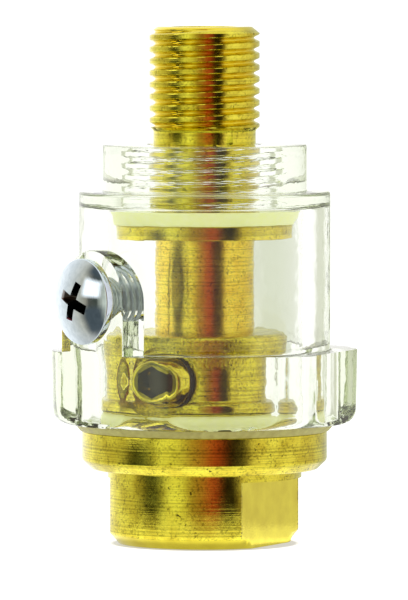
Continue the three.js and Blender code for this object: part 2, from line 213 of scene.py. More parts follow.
def finish_piece(name, bm, place=None, sharp_angle=30):
    """Makes an object in metres from a bmesh in mm."""
    clean(bm, WELD)
    bmesh.ops.recalc_face_normals(bm, faces=bm.faces)
    set_sharp(bm, sharp_angle)
    bm.transform(Matrix.Scale(MM, 4) @ (place or Matrix.Identity(4)))
    mesh = bpy.data.meshes.new(name)
    bm.to_mesh(mesh)
    bm.free()
    piece = bpy.data.objects.new(name, mesh)
    bpy.context.scene.collection.objects.link(piece)
    return piece


def columns_with(edges=(), count=COLUMNS):
    """Angles around a full turn, with the nearest ones moved onto the given edges."""
    angles = [TURN * i / count for i in range(count)]
    for edge in edges:
        edge %= TURN
        nearest = min(range(count), key=lambda i: abs((angles[i] - edge + math.pi) % TURN - math.pi))
        angles[nearest] = edge
    return sorted(angles)


def revolve(outline, angles, radius_at=None):
    """Closed bmesh of revolution about Z. Corners at radius 0 become one vertex each."""
    bm = bmesh.new()
    rings = []
    for radius, height in outline:
        if radius == 0:
            rings.append([bm.verts.new((0, 0, height))])
            continue
        ring = []
        for angle in angles:
            r = radius_at(radius, height, angle) if radius_at else radius
            ring.append(bm.verts.new((r * math.cos(angle), r * math.sin(angle), height)))
        rings.append(ring)
    pairs = list(zip(rings, rings[1:]))
    if outline[0][0] > 0:
        pairs.append((rings[-1], rings[0]))
    count = len(angles)
    for low, high in pairs:
        for i in range(count):
            j = (i + 1) % count
            if len(low) == 1 and len(high) == 1:
                continue
            if len(low) == 1:
                bm.faces.new((low[0], high[j], high[i]))
            elif len(high) == 1:
                bm.faces.new((low[i], low[j], high[0]))
            else:
                bm.faces.new((low[i], low[j], high[j], high[i]))
    return bm


def rounded(corners, closed=True, steps=4):
    """Outline from corners of (radius, height, rounding): each corner becomes a short curve."""
    outline = []
    count = len(corners)
    for i, (r, z, *rest) in enumerate(corners):
        size = rest[0] if rest else 0
        at_end = not closed and i in (0, count - 1)
        if not size or at_end:
            outline.append((r, z))
            continue
        here = Vector((r, z))
        before = Vector(corners[i - 1][:2]) - here
        after = Vector(corners[(i + 1) % count][:2]) - here
        start = here + before.normalized() * min(size, before.length * 0.48)
        stop = here + after.normalized() * min(size, after.length * 0.48)
        for k in range(steps + 1):
            t = k / steps
            point = start * (1 - t) ** 2 + here * 2 * t * (1 - t) + stop * t ** 2
            outline.append((point.x, point.y))
    return outline


def arc(centre_r, centre_z, radius, start, stop, steps):
    """Points along an arc, angles in degrees."""
    points = []
    for i in range(steps + 1):
        angle = math.radians(start + (stop - start) * i / steps)
        points.append((centre_r + radius * math.cos(angle), centre_z + radius * math.sin(angle)))
    return points


def rows(radius, low, high, step):
    """Evenly spaced outline points up or down a cylinder."""
    count = max(1, round(abs(high - low) / step))
    return [(radius, low + (high - low) * i / count) for i in range(count + 1)]


def smoothstep(x):
    """0 below 0 and 1 above 1, with a smooth curve between."""
    x = min(1.0, max(0.0, x))
    return x * x * (3 - 2 * x)


def thread_groove(height, angle, pitch):
    """0 on a right-hand thread's crest, 1 in its root."""
    phase = (height / pitch - angle / TURN) % 1
    from_crest = abs(phase - 0.5) * 2
    return smoothstep((from_crest - THREAD_CREST_SHARE) / THREAD_FLANK_SHARE)


def skin(bm, rings):
    """Closes a stack of equal rings of corners with sides and two end faces."""
    count = len(rings[0])
    for low, high in zip(rings, rings[1:]):
        for i in range(count):
            j = (i + 1) % count
            bm.faces.new((low[i], low[j], high[j], high[i]))
    bm.faces.new(rings[0])
    bm.faces.new(rings[-1])


def boolean(piece, cutter, operation="DIFFERENCE"):
    """Cuts piece with cutter or joins them. The cutter is then removed."""
    modifier = piece.modifiers.new("cut", "BOOLEAN")
    modifier.object = cutter
    modifier.operation = operation
    modifier.solver = "EXACT"
    depsgraph = bpy.context.evaluated_depsgraph_get()
    mesh = bpy.data.meshes.new_from_object(piece.evaluated_get(depsgraph))
    piece.modifiers.clear()
    old = piece.data
    piece.data = mesh
    bpy.data.meshes.remove(old)
    bpy.data.objects.remove(cutter)
    bm = bmesh.new()
    bm.from_mesh(piece.data)
    clean(bm, WELD * MM)
    set_sharp(bm)
    bm.to_mesh(piece.data)
    bm.free()


def radial_place(angle, height):
    """Matrix that lays a piece built along +Z on an axis pointing outwards, in mm."""
    return Matrix.Translation((0, 0, height)) @ Euler((0, math.pi / 2, angle), "XYZ").to_matrix().to_4x4()


def radial_cutter(place, radius, inner, outer):
    """Cylinder that bores a hole along a radial axis."""
    outline = [(0, inner), (radius, inner), (radius, outer), (0, outer)]
    return finish_piece("cutter", revolve(outline, columns_with(count=SEAL_COLUMNS)), place)


FILLER_PLACE = radial_place(FILLER_ANGLE, FILLER_HEIGHT)
METER_PLACE = radial_place(METER_ANGLE, METER_HEIGHT)


# ---------------------------------------------------------------- shader nodes

def new_material(name):
    """(material, its node tree, its main shader)."""
    material = bpy.data.materials.new(name)
    material.use_nodes = True
    tree = material.node_tree
    return material, tree, tree.nodes["Principled BSDF"]


def add(tree, kind, inputs=None, **settings):
    """New node with its settings and its inputs, each a value or a socket to link."""
    node = tree.nodes.new(kind)
    for key, value in settings.items():
        setattr(node, key, value)
    for key, value in (inputs or {}).items():
        if isinstance(value, bpy.types.NodeSocket):
            tree.links.new(value, node.inputs[key])
        else:
            node.inputs[key].default_value = value
    return node


def calc(tree, operation, first, second, **settings):
    """Arithmetic on two numbers."""
    return add(tree, "ShaderNodeMath", {0: first, 1: second}, operation=operation, **settings).outputs[0]


def spread(tree, value, start, stop, low=0.0, high=1.0, **settings):
    """low where value is at start and high where it is at stop, and held beyond them."""
    return add(tree, "ShaderNodeMapRange", {
        "Value": value, "From Min": start, "From Max": stop, "To Min": low, "To Max": high},
        **settings).outputs[0]


def mix_value(tree, share, first, second):
    """first where share is 0 and second where it is 1."""
    return add(tree, "ShaderNodeMix", {0: share, 2: first, 3: second}).outputs[0]


def mix_colour(tree, share, first, second, **settings):
    """first where share is 0 and second where it is 1, for colours."""
    return add(tree, "ShaderNodeMix", {0: share, 6: first, 7: second}, data_type="RGBA",
               **settings).outputs[2]


def ramp(tree, factor, stops):
    """Colour that follows factor through stops of (position, colour)."""
    node = add(tree, "ShaderNodeValToRGB", {"Fac": factor})
    elements = node.color_ramp.elements
    while len(elements) < len(stops):
        elements.new(0.5)
    for element, (position, colour) in zip(elements, stops):
        element.position = position
        element.color = (*colour, 1)
    return node.outputs["Color"]


def noise(tree, vector, scale, detail, roughness=0.5):
    """Noise from 0 to 1. Its scale is in features per millimetre."""
    return add(tree, "ShaderNodeTexNoise", {
        "Vector": vector, "Scale": scale, "Detail": detail, "Roughness": roughness}).outputs["Fac"]


def bump(tree, height, strength, distance, under=None):
    """Normal tilted by a height of distance millimetres, over another bump's normal if one is given."""
    inputs = {"Height": height, "Strength": strength, "Distance": distance * MM}
    if under is not None:
        inputs["Normal"] = under
    return add(tree, "ShaderNodeBump", inputs).outputs[0]


def darkened(tree, colour, share):
    """colour, the nearer to black the larger share is."""
    shade = ramp(tree, share, [(0.0, (1, 1, 1)), (1.0, (0, 0, 0))])
    return mix_colour(tree, 1.0, colour, shade, blend_type="MULTIPLY")


def lathe_space(tree, angle=None, height=0):
    """(point, radius, height) in mm about a turned piece's axis, upright unless an angle is given."""
    coordinates = add(tree, "ShaderNodeTexCoord").outputs["Object"]
    mapping = add(tree, "ShaderNodeMapping", {"Vector": coordinates}, vector_type="TEXTURE")
    mapping.inputs["Scale"].default_value = (MM, MM, MM)
    if angle is not None:
        mapping.inputs["Location"].default_value = (0, 0, height * MM)
        mapping.inputs["Rotation"].default_value = (0, math.pi / 2, angle)
    point = mapping.outputs["Vector"]
    parts = add(tree, "ShaderNodeSeparateXYZ", {"Vector": point})
    flat = add(tree, "ShaderNodeCombineXYZ", {"X": parts.outputs["X"], "Y": parts.outputs["Y"]})
    radius = add(tree, "ShaderNodeVectorMath", {0: flat.outputs[0]}, operation="LENGTH")
    return point, radius.outputs["Value"], parts.outputs["Z"]


def inside_and_below(tree, across, along, limit):
    """1 where the height is below limit[0] and the radius inside limit[1], else 0."""
    below = calc(tree, "LESS_THAN", along, limit[0])
    inside = calc(tree, "LESS_THAN", across, limit[1])
    return calc(tree, "MULTIPLY", below, inside)


def connect(tree, shader, **sockets):
    """Links colour, roughness and normal sockets to the shader."""
    names = {"colour": "Base Color", "roughness": "Roughness", "normal": "Normal"}
    for key, socket in sockets.items():
        tree.links.new(socket, shader.inputs[names[key]])


# ---------------------------------------------------------------- materials

# Darker brass, painted shade in the nipple thread's roots.
THREAD_ROOT_SHADE = (0.8, 0.65, 0.06, 1)
# Near black, painted shade in the metering screw's hexagon socket.
SOCKET_PAINTED_SHADE = (0.035, 0.03, 0.022, 1)
# Near black, painted shade deep in the filler screw's cross recess.
RECESS_PAINTED_SHADE = (0.05, 0.045, 0.04, 1)
STEEL_PALE = (0.7, 0.78, 0.84)
STEEL_DEEP = (0.58, 0.66, 0.72)
RUBBER_PALE = (0.035, 0.034, 0.032)
RUBBER_DEEP = (0.012, 0.012, 0.012)
PLASTIC_TINT = (0.99, 1, 0.985, 1)
PLASTIC_DEPTH = (0.5, 0.62, 0.1, 1)
PLASTIC_DENSITY = 12
PLASTIC_IOR = 1.49
NYLON_IOR = 1.5
BLOTCHES = (0.45, 4)                     # noise: features per mm, detail and, if given, roughness
DIRT_PATCHES = (0.8, 2)
DARK_SPOTS = (2.1, 1)
SPECKS = (3.2, 3, 0.6)
TOOL_LINES = (4.2, 3, 0.7)
PATCH_SHADE, PATCH_BRIGHT = 0.3, 0.62    # noise at which brass is its shade and its bright colour
UPPER_SOFT = 0.5                         # half the height in mm over which the upper brass takes over
CAST_SOFT = 0.4
CAST_PITS = 0.9
MILLED_EVEN = 0.6                        # how much of the patches a milled flat loses
SHANK_ROUGHNESS = 0.4


def brass(name, colour, dark, lines, pits, grime, roughness, angle=None, height=0,
          cast=None, upper=None, milled=None, shaded_socket=None, thread=None):
    """Turned brass: fine tool lines around the turning axis, pits, tarnish and uneven polish, with painted
    shade in sockets and thread roots.

    cast is the height above which the skin is coarse and speckled. upper is a
    (height, colour, shade, roughness) above which the brass takes another colour. milled is a
    (height, radius) below and inside which there are no tool lines. shaded_socket is a
    (height, radius) below and inside which it is painted near black, as shade in a socket. thread
    is the (crest, root) radii between which it is painted darker towards the root, as shade."""
    material, tree, shader = new_material(name)
    point, across, along = lathe_space(tree, angle, height)
    section = add(tree, "ShaderNodeCombineXYZ", {"X": across, "Y": along}).outputs[0]
    blotch = noise(tree, point, *BLOTCHES)
    speck = noise(tree, point, *SPECKS)
    tool = noise(tree, section, *TOOL_LINES)
    patina, turned = blotch, 1.0
    if milled:
        flat = inside_and_below(tree, across, along, milled)
        turned = calc(tree, "SUBTRACT", 1.0, flat)
        patina = mix_value(tree, calc(tree, "MULTIPLY", flat, MILLED_EVEN), blotch, 0.5)
    tint = ramp(tree, patina, [(PATCH_SHADE, dark), (PATCH_BRIGHT, colour)])
    finish = roughness
    if upper:
        start, upper_colour, upper_dark, upper_roughness = upper
        higher = spread(tree, along, start - UPPER_SOFT, start + UPPER_SOFT)
        upper_tint = ramp(tree, blotch, [(PATCH_SHADE, upper_dark), (PATCH_BRIGHT, upper_colour)])
        tint = mix_colour(tree, higher, tint, upper_tint)
        finish = mix_value(tree, higher, roughness, upper_roughness)

    line_shade = calc(tree, "MULTIPLY", spread(tree, tool, 0.56, 0.34, 0, lines), turned)
    dirty = spread(tree, noise(tree, point, *DIRT_PATCHES), 0.6, 0.38, 0.25, 1)
    grains = spread(tree, speck, 0.52, 0.38, 0, grime)
    spots = spread(tree, noise(tree, point, *DARK_SPOTS), 0.69, 0.73, 0, 2 * grime)
    marks = calc(tree, "MULTIPLY", dirty, calc(tree, "MAXIMUM", grains, spots))
    soil = calc(tree, "MULTIPLY", marks, turned)
    surface = darkened(tree, darkened(tree, tint, line_shade), soil)
    # Painted shade: the nipple's thread turns darker from crest to root.
    if thread:
        crest, root = thread
        outside = calc(tree, "GREATER_THAN", across, root - 0.4)
        on_nipple = calc(tree, "MULTIPLY", outside, calc(tree, "GREATER_THAN", along, RELIEF_HIGH))
        root_shade = calc(tree, "MULTIPLY", spread(tree, across, crest, root), on_nipple)
        surface = mix_colour(tree, root_shade, surface, THREAD_ROOT_SHADE)
    # Painted shade: inside the socket the brass is mixed to near black.
    if shaded_socket:
        surface = mix_colour(tree, inside_and_below(tree, across, along, shaded_socket), surface, SOCKET_PAINTED_SHADE)

    uneven = calc(tree, "MULTIPLY", spread(tree, patina, 0.3, 0.7, 0.75, 1.3), finish)
    pitting = pits
    if cast:
        pitting = spread(tree, along, cast - CAST_SOFT, cast + CAST_SOFT, pits, CAST_PITS)
    ridges = bump(tree, line_shade, 0.5, 0.02)
    shader.inputs["Metallic"].default_value = 1
    connect(tree, shader, colour=surface, roughness=uneven, normal=bump(tree, speck, pitting, 0.12, ridges))
    return material


def clear_plastic():
    """Moulded clear plastic, faintly green where it is thick, with slightly uneven gloss."""
    material, tree, shader = new_material("clear_plastic")
    point, _, _ = lathe_space(tree)
    depth = add(tree, "ShaderNodeVolumeAbsorption", {"Color": PLASTIC_DEPTH, "Density": PLASTIC_DENSITY})
    tree.links.new(depth.outputs[0], tree.nodes["Material Output"].inputs["Volume"])
    shader.inputs["Base Color"].default_value = PLASTIC_TINT
    shader.inputs["Transmission Weight"].default_value = 1
    shader.inputs["IOR"].default_value = PLASTIC_IOR
    connect(tree, shader, roughness=spread(tree, noise(tree, point, 0.35, 3), 0, 1, 0, 0.05),
            normal=bump(tree, noise(tree, point, 0.5, 2), 0.12, 0.25))
    return material


def nylon(name, pale, deep, glow):
    """Natural nylon, milky and a little yellow, with mould texture, in colours that carry painted light and
    shade.

    glow is a painted glow that stands for the light a ring gathers from the clear plastic around it."""
    material, tree, shader = new_material(name)
    point, _, _ = lathe_space(tree)
    cloud = noise(tree, point, 1.2, 4)
    colour = ramp(tree, cloud, [(0.3, deep), (0.7, pale)])
    tree.links.new(colour, shader.inputs["Emission Color"])
    shader.inputs["Emission Strength"].default_value = glow
    shader.inputs["IOR"].default_value = NYLON_IOR
    connect(tree, shader, colour=colour, roughness=spread(tree, cloud, 0, 1, 0.3, 0.55),
            normal=bump(tree, cloud, 0.3, 0.08))
    return material


def rubber():
    """Black nitrile rubber with a faint bloom."""
    material, tree, shader = new_material("rubber")
    point, _, _ = lathe_space(tree)
    bloom = noise(tree, point, 2, 4)
    connect(tree, shader, colour=ramp(tree, bloom, [(0.35, RUBBER_DEEP), (0.7, RUBBER_PALE)]),
            roughness=spread(tree, bloom, 0, 1, 0.35, 0.6))
    return material


def chrome():
    """Bright chrome plate with hairline scuffs, painted shade in the cross recess and a matt shank."""
    material, tree, shader = new_material("chrome")
    point, across, along = lathe_space(tree, FILLER_ANGLE, FILLER_HEIGHT)
    section = add(tree, "ShaderNodeCombineXYZ", {"X": across, "Y": along}).outputs[0]
    scuff = noise(tree, point, 1.4, 5)
    rings = noise(tree, section, 5, 3)
    plate = ramp(tree, scuff, [(0.3, STEEL_DEEP), (0.65, STEEL_PALE)])
    from_centre = add(tree, "ShaderNodeVectorMath", {0: point, 1: (0, 0, DOME_CENTRE)},
                      operation="DISTANCE")
    below_dome = spread(tree, from_centre.outputs["Value"], DOME_SPHERE - RECESS_SHADE_FROM,
                        DOME_SPHERE - RECESS_SHADE_FULL)
    in_head = calc(tree, "GREATER_THAN", along, FILLER_SEAT + 0.05)
    near_axis = calc(tree, "LESS_THAN", across, RECESS_RADIUS)
    # Painted shade: the cross recess turns near black from just below the dome inwards.
    recess_shade = calc(tree, "MULTIPLY", calc(tree, "MULTIPLY", near_axis, in_head), below_dome)
    polish = spread(tree, scuff, 0.3, 0.7, 0.03, 0.09)
    shader.inputs["Metallic"].default_value = 1
    connect(tree, shader, colour=mix_colour(tree, recess_shade, plate, RECESS_PAINTED_SHADE),
            roughness=mix_value(tree, in_head, SHANK_ROUGHNESS, polish),
            normal=bump(tree, rings, 0.08, 0.03))
    return material


BRASS_YELLOW = (0.88, 0.78, 0.07)
BRASS_SHADE = (0.62, 0.5, 0.035)
# A brighter, more orange copy of the same brass for the stem's column in the bowl: painted light for what
# the bowl takes away, and painted reflection of the bowl's inside.
COLUMN_LIT_GOLD = (1.0, 0.8, 0.085)
COLUMN_LIT_GOLD_DARK = (0.84, 0.58, 0.05)

MAT_BASE = brass("brass_turned", BRASS_YELLOW, BRASS_SHADE, lines=0.4, pits=0.06, grime=0.45,
                 roughness=0.14, cast=SPECKLED_FROM,
                 milled=(WRENCH_FLAT_TOP, WRENCH_BODY_RADIUS - 0.2))
# Painted light: the stem below its disc gets the lit gold copy, and the nipple above it gets the plain
# yellow.
MAT_STEM = brass("brass_bar", COLUMN_LIT_GOLD, COLUMN_LIT_GOLD_DARK, lines=0.32, pits=0.05, grime=0.36,
                 roughness=0.17, upper=(DISC_LOW, BRASS_YELLOW, BRASS_SHADE, 0.12),
                 thread=(NIPPLE_CREST - 0.2, NIPPLE_ROOT + 0.05))
MAT_METER = brass("brass_screw", BRASS_YELLOW, BRASS_SHADE, lines=0.15, pits=0.03, grime=0.2,
                  roughness=0.08, angle=METER_ANGLE, height=METER_HEIGHT,
                  shaded_socket=(METER_FACE - 1.2, 1.75))
MAT_BOWL = clear_plastic()
# Darker copy of the same nylon with a faint painted glow: painted shade for the rings outside the bowl.
MAT_NYLON_SHADED = nylon("nylon", (0.54, 0.53, 0.15), (0.4, 0.37, 0.08), 0.02)
# Paler copy of the same nylon with a strong painted glow: painted light for the rings inside the bowl.
MAT_NYLON_PAINTED_LIT = nylon("nylon_painted_lit", (0.95, 0.98, 0.5), (0.88, 0.93, 0.38), 0.36)
MAT_RUBBER = rubber()
MAT_CHROME = chrome()


def place_piece(piece, body, node, material):
    """Gives a piece its material and body, and hides the CAD node that it stands for."""
    piece.data.materials.clear()
    piece.data.materials.append(material)
    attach(piece, body)
    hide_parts(node)


# ---------------------------------------------------------------- brass pieces

def stem_radius(radius, height, angle):
    """Cuts the two threads, in the crest-size cylinders and the nipple's end chamfer."""
    if abs(radius - NIPPLE_CREST) > SAME and height < NIPPLE_END - 1:
        return radius
    depth = NIPPLE_CREST - NIPPLE_ROOT
    start = smoothstep((height - RELIEF_HIGH) / THREAD_RUN_IN) if height > RELIEF_LOW else 1
    return min(radius, NIPPLE_CREST - depth * thread_groove(height, angle, THREAD_PITCH) * start)


def stem():
    """Tail, column, disc, the neck's thread, relief and nipple, in one turning with a bore."""
    step = THREAD_PITCH / 20
    low_thread = rows(NIPPLE_CREST, DISC_HIGH + THREAD_RUN_IN, RELIEF_LOW, step)
    high_thread = rows(NIPPLE_CREST, RELIEF_HIGH + THREAD_RUN_IN, NIPPLE_END - END_CHAMFER_START, step)
    end_chamfer = [
        (NIPPLE_CREST - END_CHAMFER_DEPTH * t, NIPPLE_END - END_CHAMFER_START + END_CHAMFER_LENGTH * t)
        for t in (i / 10 for i in range(1, 11))]
    outline = [
        *rounded([(STEM_BORE, STEM_TAIL), (STEM_TAIL_RADIUS, STEM_TAIL, 0.3),
                  (STEM_TAIL_RADIUS, COLLAR_TOP)], closed=False),
        *rounded([(COLUMN_RADIUS, COLLAR_TOP), (COLUMN_RADIUS, DISC_LOW, 0.12),
                  (DISC_RADIUS, DISC_LOW, 0.15), (DISC_RADIUS, DISC_HIGH, 0.18),
                  (NIPPLE_ROOT, DISC_HIGH)], closed=False),
        *low_thread,
        *rounded([(RELIEF_RADIUS, RELIEF_LOW + 0.1), (RELIEF_RADIUS, RELIEF_HIGH, 0.2),
                  (NIPPLE_CREST - 0.01, RELIEF_HIGH + 0.4)], closed=False),
        *high_thread,
        *end_chamfer,
        *rounded([(END_FACE_RADIUS, NIPPLE_END), (STEM_BORE + BORE_CHAMFER, NIPPLE_END, 0.1),
                  (STEM_BORE, NIPPLE_END - BORE_CHAMFER, 0.1), (STEM_BORE, STEM_TAIL + 1)], closed=False),
    ]
    piece = finish_piece("stem_brass", revolve(outline, columns_with(), stem_radius), sharp_angle=35)
    place_piece(piece, "fitting", "stem", MAT_STEM)


def base_radius(radius, height, angle):
    """Cuts the wrench flats in the outside and the thread in the socket."""
    if height <= WRENCH_FLAT_TOP + SAME and radius > WRENCH_FLAT_DISTANCE:
        across = abs(math.cos(angle - WRENCH_FLAT_DIRECTION))
        return min(radius, WRENCH_FLAT_DISTANCE / max(across, SAME))
    if abs(radius - SOCKET_CREST) < SAME and height < SOCKET_DEPTH - SOCKET_THREAD_END:
        groove = 1 - thread_groove(height, angle, THREAD_PITCH)
        return radius + (SOCKET_ROOT - SOCKET_CREST) * groove
    return radius


def base_fitting():
    """Wrench body, flange, grooved spigot and collar, with the socket and the metering bore."""
    half = math.acos(WRENCH_FLAT_DISTANCE / WRENCH_BODY_RADIUS)
    edges = [WRENCH_FLAT_DIRECTION + side + sign * half for side in (0, math.pi) for sign in (-1, 1)]
    outside = rounded([
        (SOCKET_MOUTH_RADIUS, 0, 0.1),
        (WRENCH_BODY_RADIUS - WRENCH_CHAMFER, 0, 0.2),
        (WRENCH_BODY_RADIUS, WRENCH_CHAMFER, 0.3),
        (WRENCH_BODY_RADIUS, WRENCH_FLAT_TOP),
        (WRENCH_BODY_RADIUS, WRENCH_FLAT_TOP + 0.01),
        (WRENCH_BODY_RADIUS, WRENCH_BODY_TOP, 0.25),
        (FLANGE_UNDERSIDE_RADIUS, WRENCH_BODY_TOP, 0.15),
        (FLANGE_RADIUS, FLANGE_CHAMFER_TOP, 0.3),
        (FLANGE_RADIUS, FLANGE_TOP, 0.15),
        (SPIGOT_RADIUS, FLANGE_TOP),
        (SPIGOT_RADIUS, SEAL_GROOVE_LOW),
        (SEAL_GROOVE_RADIUS, SEAL_GROOVE_LOW, 0.2),
        (SEAL_GROOVE_RADIUS, SEAL_GROOVE_HIGH, 0.2),
        (SPIGOT_RADIUS, SEAL_GROOVE_HIGH, 0.5),
        (SPIGOT_RADIUS, SPIGOT_TOP, 0.6),
        (COLLAR_RADIUS, SPIGOT_TOP, 0.35),
        (COLLAR_RADIUS, COLLAR_TOP, 0.75),
        (STEM_TAIL_RADIUS, COLLAR_TOP),
    ], closed=False)
    inside = [
        (STEM_TAIL_RADIUS, STEM_SEAT_LOW), (SHOULDER_BORE, STEM_SEAT_LOW), (SHOULDER_BORE, SOCKET_DEPTH),
        *rows(SOCKET_CREST, SOCKET_DEPTH, SOCKET_THREAD_LOW, THREAD_PITCH / 16),
    ]
    piece = finish_piece("base_brass", revolve(outside + inside, columns_with(edges), base_radius))
    for radius, inner in ((METER_ORIFICE, SHOULDER_BORE), (METER_BORE, METER_BORE_END),
                          (METER_SPOT_RADIUS, METER_SPOT)):
        boolean(piece, radial_cutter(METER_PLACE, radius, inner, METER_BORE_OUTER))
    place_piece(piece, "fitting", "base_fitting", MAT_BASE)


def metering_screw():
    """Needle, thread, seal groove and barrel on the metering bore's axis, with a hexagon socket."""
    outline = [
        (0, METER_TIP), (METER_NEEDLE_RADIUS, METER_NEEDLE_BASE), (METER_THREAD, METER_NEEDLE_BASE),
        (METER_THREAD, METER_GROOVE_INNER), (METER_GROOVE, METER_GROOVE_INNER),
        *rounded([(METER_GROOVE, METER_GROOVE_OUTER), (METER_BARREL, METER_GROOVE_OUTER, 0.15),
                  (METER_FACE_RADIUS + 0.2, METER_SHOULDER, 0.3), (METER_FACE_RADIUS, METER_FACE, 0.15),
                  (METER_FACE_RADIUS - 0.3, METER_FACE - 0.08, 0.1), (0, METER_FACE - 0.1)], closed=False),
    ]
    piece = finish_piece("metering_brass", revolve(outline, columns_with(count=SMALL_COLUMNS)), METER_PLACE)
    corner = HEX_ACROSS_FLATS / math.sqrt(3)
    hexagon = [math.pi + TURN * i / 6 for i in range(6)]
    socket = revolve([(0, METER_FACE - HEX_POINT_DEPTH), (corner, METER_FACE - HEX_DEPTH),
                      (corner, METER_FACE - 0.2), (corner + 0.12, METER_FACE + 0.3),
                      (0, METER_FACE + 0.3)], hexagon)
    boolean(piece, finish_piece("cutter", socket, METER_PLACE))
    place_piece(piece, "meter", "metering_screw", MAT_METER)


# ---------------------------------------------------------------- oil bowl

def bowl_radius(radius, height, angle):
    """Cuts the band's six flats and the neck's thread."""
    if radius > BAND_FLAT_DISTANCE and height <= BAND_TOP + SAME:
        turn = (angle - FILLER_ANGLE + math.pi / 6) % (math.pi / 3) - math.pi / 6
        return min(radius, BAND_FLAT_DISTANCE / math.cos(turn))
    if abs(radius - NIPPLE_CREST) < SAME:
        return stem_radius(radius, height, angle) + NECK_PLAY
    return radius


def bowl():
    """Clear bowl with its band, shoulder and threaded neck, joined to the filler boss."""
    half = math.acos(BAND_FLAT_DISTANCE / BAND_RADIUS)
    edges = [FILLER_ANGLE + k * math.pi / 3 + sign * half for k in range(6) for sign in (-1, 1)]
    outline = [
        *rounded([(BOWL_MOUTH_RADIUS, BOWL_FOOT), (FOOT_FACE_RADIUS, BOWL_FOOT, 0.1)], closed=False),
        *arc(FOOT_CURVE_CENTRE, BOWL_FOOT + FOOT_CURVE, FOOT_CURVE, -72, 0, 8),
        *rounded([(BAND_DRAFT_RADIUS, BAND_DRAFT_LOW), (BAND_RADIUS, BAND_TOP, 0.12),
                  (BOWL_RADIUS, BAND_TOP, 0.3), (BOWL_RADIUS, BOWL_SHOULDER, 0.45),
                  (NECK_RADIUS, BOWL_SHOULDER, 0.2), (NECK_RADIUS, NECK_TOP, 0.22),
                  (NIPPLE_CREST + 0.35, NECK_TOP, 0.1),
                  (NIPPLE_CREST + 0.1, NECK_TOP - 0.3)], closed=False),
        *rows(NIPPLE_CREST, NECK_TOP - 0.4, CAVITY_TOP, THREAD_PITCH / 20),
        *rounded([(NIPPLE_CREST + 0.6, CAVITY_TOP), (CAVITY_RADIUS, CAVITY_TOP, 0.5),
                  (CAVITY_RADIUS, BOWL_FOOT + 0.3), (BOWL_MOUTH_RADIUS, BOWL_FOOT)], closed=False)[:-1],
    ]
    piece = finish_piece("bowl_clear", revolve(outline, columns_with(edges), bowl_radius))
    boolean(piece, filler_boss(), "UNION")
    boolean(piece, radial_cutter(FILLER_PLACE, FILLER_HOLE, FILLER_HOLE_INNER, FILLER_HOLE_OUTER))
    place_piece(piece, "bowl", "bowl", MAT_BOWL)


def filler_boss():
    """Upright boss with a half-round top, its face flush with one flat of the band."""
    legs = FILLER_HEIGHT - BOSS_FOOT
    top = [(-math.sin(t), math.cos(t)) for t in (math.pi * i / 48 for i in range(49))]
    levels = [(BOSS_ROOT, 0), (BAND_FLAT_DISTANCE - BOSS_EDGE, 0), (BAND_FLAT_DISTANCE - 0.07, 0.07),
              (BAND_FLAT_DISTANCE, BOSS_EDGE)]
    bm = bmesh.new()
    rings = []
    for distance, inset in levels:
        radius = BOSS_RADIUS - inset
        points = [(radius * x, radius * y) for x, y in top] + [(legs, -radius), (legs, radius)]
        rings.append([bm.verts.new((x, y, distance)) for x, y in points])
    skin(bm, rings)
    return finish_piece("boss", bm, FILLER_PLACE)


# ---------------------------------------------------------------- filler screw and seals

def filler_radius(radius, height, angle):
    """Cuts the thread in the filler screw's shank."""
    if abs(radius - FILLER_SHANK) > SAME:
        return radius
    return radius - FILLER_THREAD_DEPTH * thread_groove(height, angle, FILLER_PITCH)


def filler_screw():
    """Threaded shank and low domed head with a cross recess, on the boss's axis."""
    rim_top = FILLER_SEAT + FILLER_RIM
    apex = rim_top + FILLER_DOME
    rim_angle = math.degrees(math.acos((FILLER_HEAD_RADIUS - 0.12) / DOME_SPHERE))
    dome = arc(0, DOME_CENTRE, DOME_SPHERE, rim_angle, 90, 14)[:-1]
    outline = [
        (0, FILLER_TIP), (FILLER_NECK - 0.2, FILLER_TIP), (FILLER_NECK + 0.1, FILLER_TIP + 0.3),
        *rows(FILLER_SHANK, FILLER_TIP + 0.4, FILLER_SEAT - 0.5, FILLER_PITCH / 14),
        (FILLER_NECK, FILLER_SEAT - 0.35), (FILLER_NECK, FILLER_SEAT),
        *rounded([(FILLER_NECK, FILLER_SEAT), (FILLER_HEAD_RADIUS, FILLER_SEAT, 0.2),
                  (FILLER_HEAD_RADIUS, rim_top, 0.3), dome[0]], closed=False)[1:],
        *dome[1:],
        (0, apex),
    ]
    bm = revolve(outline, columns_with(count=SMALL_COLUMNS), filler_radius)
    piece = finish_piece("filler_chrome", bm, FILLER_PLACE)
    for turn in (0, math.pi / 2):
        boolean(piece, recess_arm(apex, turn + RECESS_TURN))
    place_piece(piece, "filler", "filler_screw", MAT_CHROME)


def recess_arm(apex, turn):
    """One wedge-shaped arm of the cross recess, narrowing towards its floor."""
    bm = bmesh.new()
    # Each level is (height, half the arm's length, half its width).
    levels = [(apex - 2.1, 0.75, 0.25), (apex - 1.5, 1.45, 0.42), (apex + 0.6, 3.15, 0.72)]
    skin(bm, [[bm.verts.new((x, y, z)) for x, y in ((-a, -b), (a, -b), (a, b), (-a, b))]
              for z, a, b in levels])
    bm.transform(Matrix.Rotation(turn, 4, "Z"))
    return finish_piece("cutter", bm, FILLER_PLACE)


def seal_ring(name, mean, section, height, body, node, material, place=None, count=SMALL_COLUMNS):
    """Ring of round section."""
    outline = arc(mean, height, section, 0, 360, 20)[:-1]
    piece = finish_piece(name, revolve(outline, columns_with(count=count)), place, sharp_angle=80)
    place_piece(piece, body, node, material)


def flat_ring(name, corners, body, node, material, place=None, count=COLUMNS):
    """Flat nylon ring."""
    piece = finish_piece(name, revolve(rounded(corners), columns_with(count=count)), place, 50)
    place_piece(piece, body, node, material)


